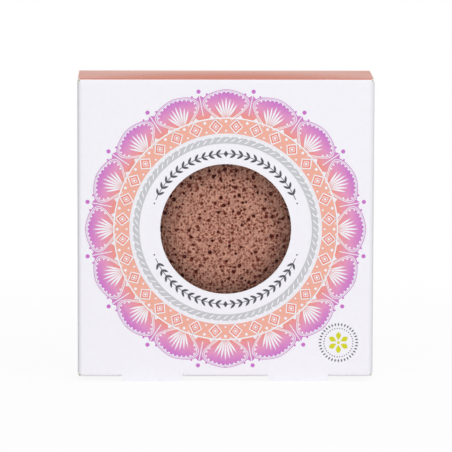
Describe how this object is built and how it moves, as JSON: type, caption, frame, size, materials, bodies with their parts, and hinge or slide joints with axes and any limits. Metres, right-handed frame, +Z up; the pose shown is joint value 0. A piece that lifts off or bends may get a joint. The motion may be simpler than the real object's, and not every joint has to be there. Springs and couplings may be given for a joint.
{
  "type": "boxed konjac sponge",
  "caption": "Round konjac face sponge in a tuck-end folding carton, with a round film window, hinged lid and base flaps.",
  "frame": {"origin": "middle of the carton's footprint, on the surface that its feet stand on", "axes": "+Z up, -Y is the way the window looks, +X to the right as seen from the front"},
  "size_m": [0.1, 0.03, 0.103],
  "materials": {
    "white_board": "satin",
    "coral_board": "satin",
    "uncoated_board": "matt",
    "clear_film": "gloss",
    "glue": "satin",
    "sponge": "matt"
  },
  "bodies": {
    "sleeve": {"front_panel": "white_board", "back_panel": "white_board", "left_side_panel": "white_board", "right_side_panel": "white_board", "glue_flap": "uncoated_board", "seam_glue": "glue", "window_film": "clear_film", "window_glue": "glue"},
    "lid": {"lid_panel": "coral_board"},
    "lid_tab": {"lid_tuck_tab": "coral_board"},
    "lid_flap_right": {"lid_dust_flap_right": "white_board"},
    "lid_flap_left": {"lid_dust_flap_left": "white_board"},
    "sponge": {"sponge": "sponge"},
    "base": {"base_panel": "coral_board"},
    "base_tab": {"base_tuck_tab": "coral_board"},
    "base_flap_right": {"base_dust_flap_right": "white_board"},
    "base_flap_left": {"base_dust_flap_left": "white_board"}
  },
  "joints": [
    {"name": "lid_hinge", "type": "hinge", "parent": "sleeve", "child": "lid", "pos_m": [0, -0.01474, 0.10274], "axis": [1, 0, 0], "range_deg": [0, 180]},
    {"name": "lid_tab_fold", "type": "hinge", "parent": "lid", "child": "lid_tab", "pos_m": [0, 0.01396, 0.10265], "axis": [1, 0, 0], "range_deg": [0, 30]},
    {"name": "lid_dust_flap_right_fold", "type": "hinge", "parent": "sleeve", "child": "lid_flap_right", "pos_m": [0.04974, 0, 0.10214], "axis": [0, 1, 0], "range_deg": [0, 95]},
    {"name": "lid_dust_flap_left_fold", "type": "hinge", "parent": "sleeve", "child": "lid_flap_left", "pos_m": [-0.04974, 0, 0.10214], "axis": [0, -1, 0], "range_deg": [0, 95]},
    {"name": "sponge_lift", "type": "slide", "parent": "sleeve", "child": "sponge", "axis": [0, 0, 1], "range_m": [0, 0.081]},
    {"name": "base_hinge", "type": "hinge", "parent": "sleeve", "child": "base", "pos_m": [0, -0.01474, 0.00196], "axis": [-1, 0, 0], "range_deg": [0, 180]},
    {"name": "base_tab_fold", "type": "hinge", "parent": "base", "child": "base_tab", "pos_m": [0, 0.01396, 0.00205], "axis": [-1, 0, 0], "range_deg": [0, 30]},
    {"name": "base_dust_flap_right_fold", "type": "hinge", "parent": "sleeve", "child": "base_flap_right", "pos_m": [0.04974, 0, 0.00256], "axis": [0, -1, 0], "range_deg": [0, 95]},
    {"name": "base_dust_flap_left_fold", "type": "hinge", "parent": "sleeve", "child": "base_flap_left", "pos_m": [-0.04974, 0, 0.00256], "axis": [0, 1, 0], "range_deg": [0, 95]}
  ],
  "couplings": [
    {"joint": "lid_hinge", "follows": "sponge_lift", "rad_per_m": 38.785},
    {"joint": "lid_tab_fold", "follows": "sponge_lift", "rad_per_m": 5.8178},
    {"joint": "lid_dust_flap_right_fold", "follows": "sponge_lift", "rad_per_m": 19.392},
    {"joint": "lid_dust_flap_left_fold", "follows": "sponge_lift", "rad_per_m": 19.392},
    {"joint": "base_tab_fold", "follows": "base_hinge", "ratio": 0.15},
    {"joint": "base_dust_flap_right_fold", "follows": "base_hinge", "ratio": 0.5},
    {"joint": "base_dust_flap_left_fold", "follows": "base_hinge", "ratio": 0.5}
  ]
}
